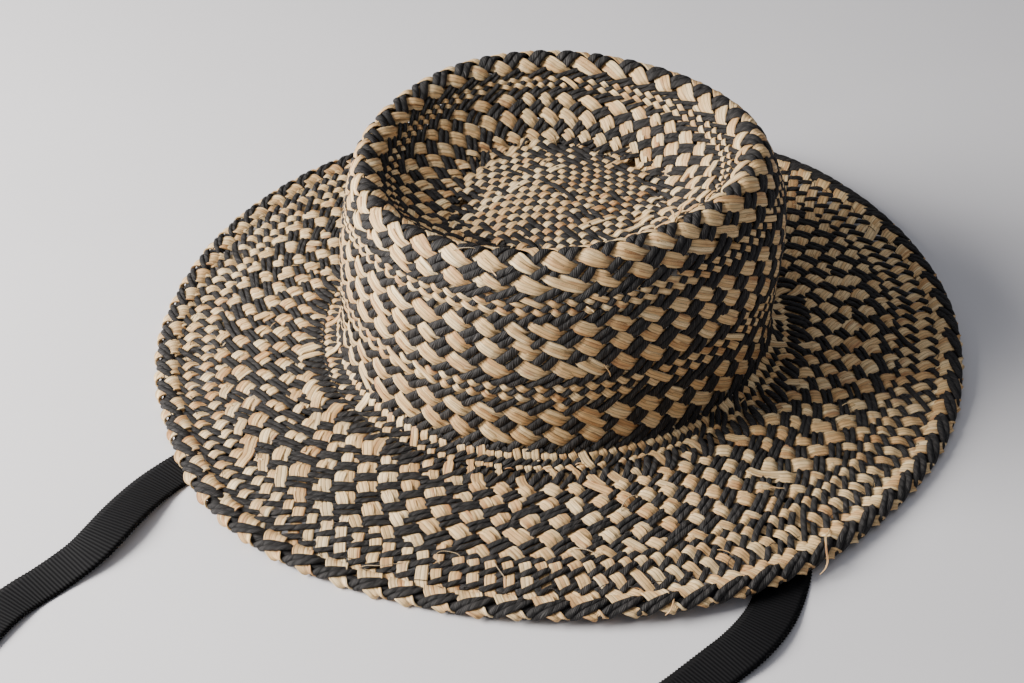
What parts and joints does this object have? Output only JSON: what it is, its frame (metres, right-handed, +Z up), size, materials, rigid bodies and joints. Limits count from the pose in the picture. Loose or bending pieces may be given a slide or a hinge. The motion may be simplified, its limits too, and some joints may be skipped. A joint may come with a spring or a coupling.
{
  "type": "straw boater hat",
  "caption": "Woven straw hat with a sunken flat-sided crown, a wide flat brim with a plaited edge and two flat ribbon ties, resting on its brim.",
  "frame": {"origin": "below the middle of the brim, on the table that the hat rests on", "axes": "+Z up out of the crown, -Y towards the front of the picture, +X to its right"},
  "size_m": [0.4016, 0.4007, 0.1026],
  "materials": {
    "woven_straw": "natural straw and black cord, checked weave",
    "plaited_straw": "natural straw and black cord, plaited",
    "ribbon": "black ribbed ribbon"
  },
  "bodies": {
    "root": {"crown_tip": "woven_straw", "crown_side": "woven_straw", "brim": "woven_straw", "brim_edge": "plaited_straw", "tie_left": "ribbon", "tie_right": "ribbon"}
  },
  "joints": []
}
